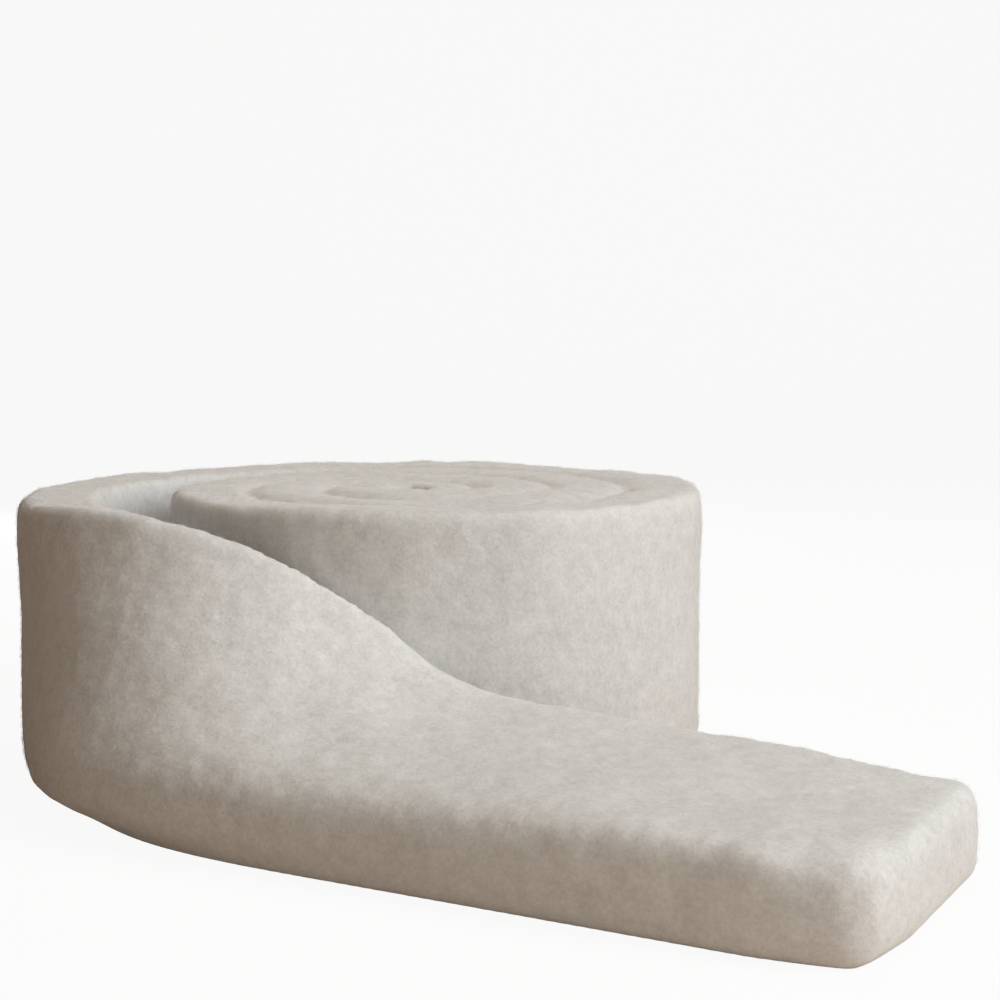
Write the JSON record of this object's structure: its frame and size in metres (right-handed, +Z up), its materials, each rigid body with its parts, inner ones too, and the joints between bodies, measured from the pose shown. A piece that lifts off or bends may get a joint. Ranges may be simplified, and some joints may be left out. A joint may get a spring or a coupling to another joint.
{
  "type": "insulation roll",
  "caption": "Roll of soft loft insulation wadding standing on its end, its outer end unwound round the back and laid out flat on the floor.",
  "frame": {"origin": "middle of the roll's eye, on the floor that the roll stands on", "axes": "+Z up along the roll's eye, +X to the right as seen from the side on which the loose end lies, -Y towards that side"},
  "size_m": [1.1948, 1.4626, 0.3785],
  "materials": {
    "wadding": "matte"
  },
  "bodies": {
    "root": {"insulation_mat": "wadding"}
  },
  "joints": []
}
